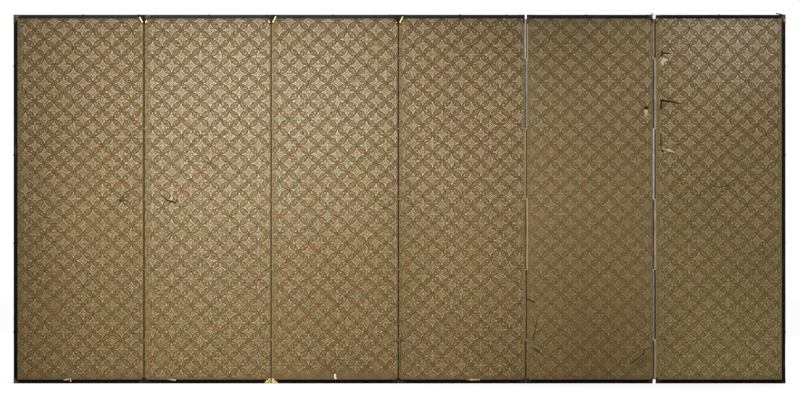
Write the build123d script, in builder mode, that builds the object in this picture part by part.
from build123d import *
import os

# A six-panel byobu, the Japanese folding screen, standing opened flat.
#
# Each panel is a light cedar core, a frame with a woven lattice of slats, covered on both
# faces with layers of paper. Lacquered rails run along the top and the bottom, and down the
# two outer edges of the screen. The panels are joined by paper only: at each hinge, six
# wings of paper pass in turn from the back of one panel to the front of the next, and from
# its front to the back of the next, so the hinge folds both ways.
#
# +X runs from panel 1 to panel 6, +Y points to the front, +Z points up. The origin is on
# the floor, at the middle of the screen. Lengths are in millimetres.

# The whole screen
screen_height = 1711.0
panel_count = 6
panel_width = 584.0
# The gaps at hinges 1 to 5: the paper of the last two has stretched with use.
hinge_gaps = (6.0, 6.0, 6.0, 10.0, 14.0)

# Cedar core
core_depth = 16.0
stile_width = 30.0
end_rail_width = 32.0
tenon_length = 18.0
tenon_width = 18.0
tenon_depth = 6.0
slat_width = 13.0
upright_slats = 3
cross_slats = 8
slat_housing = 4.0
glue_line = 0.1

# Papers and cloth on the faces
paper_depth = 0.8
border_depth = 0.35
border_width = 62.0
paste_line = 0.05

# Paper hinges
wing_paper = 0.4
wing_length = 327.0
wings_per_hinge = 6
wing_slit = 1.0
flap_width = 30.0
fold_play = 0.2

# Lacquered outer rails
rail_height = 18.0
rail_proud = 0.6
side_rail_width = 18.0
rail_rounding = 2.5

# Corner fittings of folded brass sheet
fitting_sheet = 0.4
fitting_lip = 5.0
top_fitting_length = 27.0
top_fitting_drop = 42.0
bottom_fitting_length = 30.0
bottom_fitting_rise = 26.0
fitting_hollow = 1.2

# Places worked out from the sizes above
screen_width = panel_count * panel_width + 2 * side_rail_width + sum(hinge_gaps)
core_height = screen_height - 2 * rail_height
core_middle = screen_height / 2
core_top = screen_height - rail_height
core_face = core_depth / 2
rail_face = core_face + paper_depth + rail_proud
fitting_face = rail_face + fitting_sheet
fold_line = fitting_face + fold_play
flap_pocket = wing_paper + paste_line
end_wing_length = (core_height - (wings_per_hinge - 2) * wing_length) / 2


def panel_edges():
    """Return the left and right edge of each panel's core."""
    edges = []
    left = side_rail_width - screen_width / 2
    for index in range(panel_count):
        edges.append((left, left + panel_width))
        if index < len(hinge_gaps):
            left += panel_width + hinge_gaps[index]
    return edges


def wing_spans():
    """Return the lower and upper end of each wing of a hinge, from the top down."""
    spans = []
    upper = core_top
    for index in range(wings_per_hinge):
        at_end = index in (0, wings_per_hinge - 1)
        lower = upper - (end_wing_length if at_end else wing_length)
        spans.append((lower + wing_slit / 2, upper - wing_slit / 2))
        upper = lower
    return spans


def face_plane(side, height):
    """The plane of a face: side is 1 for the front and -1 for the back."""
    return Plane.XZ.offset(-side * height)


def slat_places(left):
    """Return where the upright slats and the cross slats have their middle lines."""
    inner_width = panel_width - 2 * stile_width
    inner_height = core_height - 2 * end_rail_width
    across = inner_width / (upright_slats + 1)
    upward = inner_height / (cross_slats + 1)
    first_x = left + stile_width + across
    first_z = rail_height + end_rail_width + upward
    uprights = [first_x + index * across for index in range(upright_slats)]
    crosses = [first_z + index * upward for index in range(cross_slats)]
    return uprights, crosses


def make_core_frame(left):
    """Two full-height stiles with an end rail tenoned between them at each end."""
    middle = left + panel_width / 2
    stile_offset = (panel_width - stile_width) / 2
    end_rail_offset = (core_height - end_rail_width) / 2
    end_rail_length = panel_width - 2 * stile_width - 2 * glue_line
    uprights, crosses = slat_places(left)
    housing_width = slat_width + 2 * glue_line
    housing_reach = slat_housing + glue_line
    with BuildPart() as frame:
        with BuildSketch(Plane.XZ):
            with Locations((middle, core_middle)):
                with GridLocations(2 * stile_offset, 0, 2, 1):
                    Rectangle(stile_width, core_height)
        extrude(amount=core_depth / 2, both=True)
        # Blind mortises for the end rails' tenons
        with BuildSketch(Plane.XZ):
            with Locations((middle, core_middle)):
                with GridLocations(0, 2 * end_rail_offset, 1, 2):
                    mortise_span = end_rail_length + 2 * (tenon_length + 2 * glue_line)
                    Rectangle(mortise_span, tenon_width + 2 * glue_line)
        extrude(amount=tenon_depth / 2 + glue_line, both=True, mode=Mode.SUBTRACT)
        # End rails and, through them, the tenons
        with BuildSketch(Plane.XZ):
            with Locations((middle, core_middle)):
                with GridLocations(0, 2 * end_rail_offset, 1, 2):
                    Rectangle(end_rail_length, end_rail_width)
        extrude(amount=core_depth / 2, both=True)
        with BuildSketch(Plane.XZ):
            with Locations((middle, core_middle)):
                with GridLocations(0, 2 * end_rail_offset, 1, 2):
                    Rectangle(end_rail_length + 2 * tenon_length, tenon_width)
        extrude(amount=tenon_depth / 2, both=True)
        # Housings that take the ends of the slats
        with BuildSketch(Plane.XZ):
            for height in crosses:
                with Locations((middle, height)):
                    span = panel_width - 2 * stile_width + 2 * housing_reach
                    Rectangle(span, housing_width)
            for place in uprights:
                with Locations((place, core_middle)):
                    span = core_height - 2 * end_rail_width + 2 * housing_reach
                    Rectangle(housing_width, span)
        extrude(amount=core_depth / 2, both=True, mode=Mode.SUBTRACT)
    return frame.part


def make_lattice(left):
    """Slats half-lapped over and under in turn, so that each one locks the next."""
    middle = left + panel_width / 2
    uprights, crosses = slat_places(left)
    cross_length = panel_width - 2 * stile_width + 2 * slat_housing
    upright_length = core_height - 2 * end_rail_width + 2 * slat_housing
    notch_width = slat_width + 2 * glue_line
    notch_depth = core_depth / 2 + glue_line / 2
    notch_offset = (core_depth - notch_depth) / 2
    with BuildPart() as lattice:
        for row, height in enumerate(crosses):
            with BuildSketch(Plane.XY.offset(height - slat_width / 2)):
                with Locations((middle, 0)):
                    Rectangle(cross_length, core_depth)
                for column, place in enumerate(uprights):
                    side = 1 if (row + column) % 2 else -1
                    with Locations((place, side * notch_offset)):
                        Rectangle(notch_width, notch_depth, mode=Mode.SUBTRACT)
            extrude(amount=slat_width)
        for column, place in enumerate(uprights):
            with BuildSketch(Plane.YZ.offset(place - slat_width / 2)):
                with Locations((0, core_middle)):
                    Rectangle(core_depth, upright_length)
                for row, height in enumerate(crosses):
                    side = -1 if (row + column) % 2 else 1
                    with Locations((side * notch_offset, height)):
                        Rectangle(notch_depth, notch_width, mode=Mode.SUBTRACT)
            extrude(amount=slat_width)
    return lattice.part


def flap_sides(index):
    """List each glued flap of a panel: its edge, outward direction, gap, face and span.

    Counted from the top, the odd wings of a hinge are pasted on the back of the left panel
    and the front of the right one, and the even wings the other way round.
    """
    left, right = panel_edges()[index]
    flaps = []
    for number, (lower, upper) in enumerate(wing_spans()):
        odd_wing = number % 2 == 0
        if index > 0:
            side = 1 if odd_wing else -1
            flaps.append((left, -1, hinge_gaps[index - 1], side, lower, upper))
        if index < panel_count - 1:
            side = -1 if odd_wing else 1
            flaps.append((right, 1, hinge_gaps[index], side, lower, upper))
    return flaps


def make_face_paper(index, side):
    """The layered paper of one face, hollowed behind where it covers the hinge flaps."""
    left, _ = panel_edges()[index]
    middle = left + panel_width / 2
    with BuildPart() as paper:
        with BuildSketch(face_plane(side, core_face)):
            with Locations((middle, core_middle)):
                Rectangle(panel_width, core_height)
        extrude(amount=-side * paper_depth)
        with BuildSketch(face_plane(side, core_face)):
            for edge, outward, _, flap_side, lower, upper in flap_sides(index):
                if flap_side == side:
                    pocket_width = flap_width + paste_line
                    with Locations((edge - outward * pocket_width / 2, (lower + upper) / 2)):
                        Rectangle(pocket_width, upper - lower + 2 * paste_line)
        extrude(amount=-side * flap_pocket, mode=Mode.SUBTRACT)
        if side == 1:
            extrude(front_border(index), amount=-border_depth)
    return paper.part


def front_border(index):
    """Draw the silk strips over the ground, along the outside of the whole screen."""
    middle = panel_edges()[index][0] + panel_width / 2
    strip_rise = (core_height - border_width) / 2
    side_strip_height = core_height - 2 * border_width - 2 * paste_line
    side_strip_offset = (panel_width - border_width) / 2
    with BuildSketch(face_plane(1, core_face + paper_depth + paste_line)) as strips:
        with Locations((middle, core_middle)):
            with GridLocations(0, 2 * strip_rise, 1, 2):
                Rectangle(panel_width, border_width)
        if index == 0:
            with Locations((middle - side_strip_offset, core_middle)):
                Rectangle(border_width, side_strip_height)
        if index == panel_count - 1:
            with Locations((middle + side_strip_offset, core_middle)):
                Rectangle(border_width, side_strip_height)
    return strips.sketch


def make_hinge_flaps(index):
    """The ends of the wings that are pasted on this panel, up to the line of the fold."""
    with BuildPart() as flaps:
        for edge, outward, gap, side, lower, upper in flap_sides(index):
            reach = gap / 2 - wing_paper / 2 - glue_line
            crest = fold_line - fold_play
            outline = [
                (edge - outward * flap_width, side * core_face),
                (edge, side * core_face),
                (edge + outward * reach, side * (crest - wing_paper)),
                (edge + outward * reach, side * crest),
                (edge, side * (core_face + wing_paper)),
                (edge - outward * flap_width, side * (core_face + wing_paper)),
            ]
            with BuildSketch(Plane.XY.offset(lower)):
                with BuildLine():
                    Polyline(*outline, close=True)
                make_face()
            extrude(amount=upper - lower)
    return flaps.part


def make_wings(hinge, first):
    """Every second wing of a hinge, where it crosses the gap between the panels."""
    fold_x = panel_edges()[hinge][1] + hinge_gaps[hinge] / 2
    web_depth = 2 * (fold_line - 2 * fold_play)
    with BuildPart() as wings:
        for lower, upper in wing_spans()[first::2]:
            with BuildSketch(Plane.XY.offset(lower)):
                with Locations((fold_x, 0)):
                    Rectangle(wing_paper, web_depth)
            extrude(amount=upper - lower)
    return wings.part


def make_end_rail(index, at_top):
    """A lacquered rail along a panel, mitred where it meets a side rail."""
    left, right = panel_edges()[index]
    inner = core_top if at_top else rail_height
    outer = screen_height if at_top else 0
    outer_left = left - side_rail_width if index == 0 else left
    outer_right = right + side_rail_width if index == panel_count - 1 else right
    with BuildPart() as rail:
        with BuildSketch(Plane.XZ):
            with BuildLine():
                Polyline(
                    (left, inner), (right, inner), (outer_right, outer), (outer_left, outer),
                    close=True,
                )
            make_face()
        extrude(amount=rail_face, both=True)
        outer_edges = rail.edges().filter_by(Axis.X).group_by(Axis.Z)[-1 if at_top else 0]
        fillet(outer_edges, rail_rounding)
    return rail.part


def make_side_rail(index):
    """The lacquered rail down an outer edge of the screen, mitred at both ends."""
    left, right = panel_edges()[index]
    inner = left if index == 0 else right
    outward = -1 if index == 0 else 1
    outer = inner + outward * side_rail_width
    with BuildPart() as rail:
        with BuildSketch(Plane.XZ):
            with BuildLine():
                Polyline(
                    (inner, rail_height), (inner, core_top), (outer, screen_height), (outer, 0),
                    close=True,
                )
            make_face()
        extrude(amount=rail_face, both=True)
        outer_edges = rail.edges().filter_by(Axis.Z).group_by(Axis.X)[-1 if index else 0]
        fillet(outer_edges, rail_rounding)
    return rail.part


def corner_places(at_top):
    """The reach of a fitting along its rail and down the panel, and the corner's height."""
    if at_top:
        return top_fitting_length, top_fitting_drop, screen_height, -1
    return bottom_fitting_length, bottom_fitting_rise, 0, 1


def fitting_outline(corner, along, at_top, at_hinge):
    """Draw the brass sheet at a corner, its free edge cut to two hollows and a point.

    At a hinge the sheet covers only the rail's end, to leave the paper wings free. Under
    the bottom rail it stops flush, so that the rail itself stands on the floor.
    """
    length, drop, corner_z, rise = corner_places(at_top)
    cover = fitting_sheet if at_top else 0
    outer_edge = [(-fitting_sheet, drop)]
    if at_hinge:
        outer_edge = [(0, drop), (0, rail_height), (-fitting_sheet, rail_height)]

    def place(inward, away):
        return (corner + along * inward, corner_z + rise * away)

    def hollow(first, last):
        bottom = [(start + end) / 2 - fitting_hollow for start, end in zip(first, last)]
        ThreePointArc(place(*first), place(*bottom), place(*last))

    start = (length, fitting_lip)
    end = (fitting_lip, drop)
    point = ((start[0] + end[0]) / 2, (start[1] + end[1]) / 2)
    with BuildSketch(Plane.XZ) as outline:
        with BuildLine():
            hollow(start, point)
            hollow(point, end)
            rest = [end, *outer_edge, (-fitting_sheet, -cover), (length, -cover), start]
            Polyline(*[place(*corner_point) for corner_point in rest])
        make_face()
    return outline.sketch


def wrapped_block(corner, along, at_top):
    """Draw the part of the rail and panel that lies inside a folded fitting."""
    length, drop, corner_z, rise = corner_places(at_top)
    below = 0 if at_top else -fitting_sheet
    with BuildSketch(Plane.XZ) as block:
        with Locations((corner + along * length / 2, corner_z + rise * (drop + below) / 2)):
            Rectangle(length, drop - below)
    return block.sketch


def make_fittings(index):
    """The four corner fittings of a panel."""
    left, right = panel_edges()[index]
    first = index == 0
    last = index == panel_count - 1
    outer_left = left - side_rail_width if first else left
    outer_right = right + side_rail_width if last else right
    corners = [(outer_left, 1, not first), (outer_right, -1, not last)]
    with BuildPart() as fittings:
        for at_top in (True, False):
            for corner, along, at_hinge in corners:
                sheet = fitting_outline(corner, along, at_top, at_hinge)
                extrude(sheet, amount=fitting_face, both=True)
                inside = wrapped_block(corner, along, at_top)
                extrude(inside, amount=rail_face, both=True, mode=Mode.SUBTRACT)
    return fittings.part


def save(part, name):
    """Label a finished piece and write it under its name."""
    part.label = name
    export_step(part, f"parts/{name}.step")


os.makedirs("parts", exist_ok=True)

for index in range(panel_count):
    panel = f"panel_{index + 1}"
    panel_left = panel_edges()[index][0]
    save(make_core_frame(panel_left), f"{panel}_core_frame")
    save(make_lattice(panel_left), f"{panel}_core_lattice")
    save(make_face_paper(index, 1), f"{panel}_front_paper")
    save(make_face_paper(index, -1), f"{panel}_back_paper")
    save(make_hinge_flaps(index), f"{panel}_hinge_flaps")
    save(make_end_rail(index, True), f"{panel}_top_rail")
    save(make_end_rail(index, False), f"{panel}_bottom_rail")
    save(make_fittings(index), f"{panel}_corner_fittings")

save(make_side_rail(0), "left_side_rail")
save(make_side_rail(panel_count - 1), "right_side_rail")

for hinge in range(panel_count - 1):
    save(make_wings(hinge, 0), f"hinge_{hinge + 1}_odd_wings")
    save(make_wings(hinge, 1), f"hinge_{hinge + 1}_even_wings")
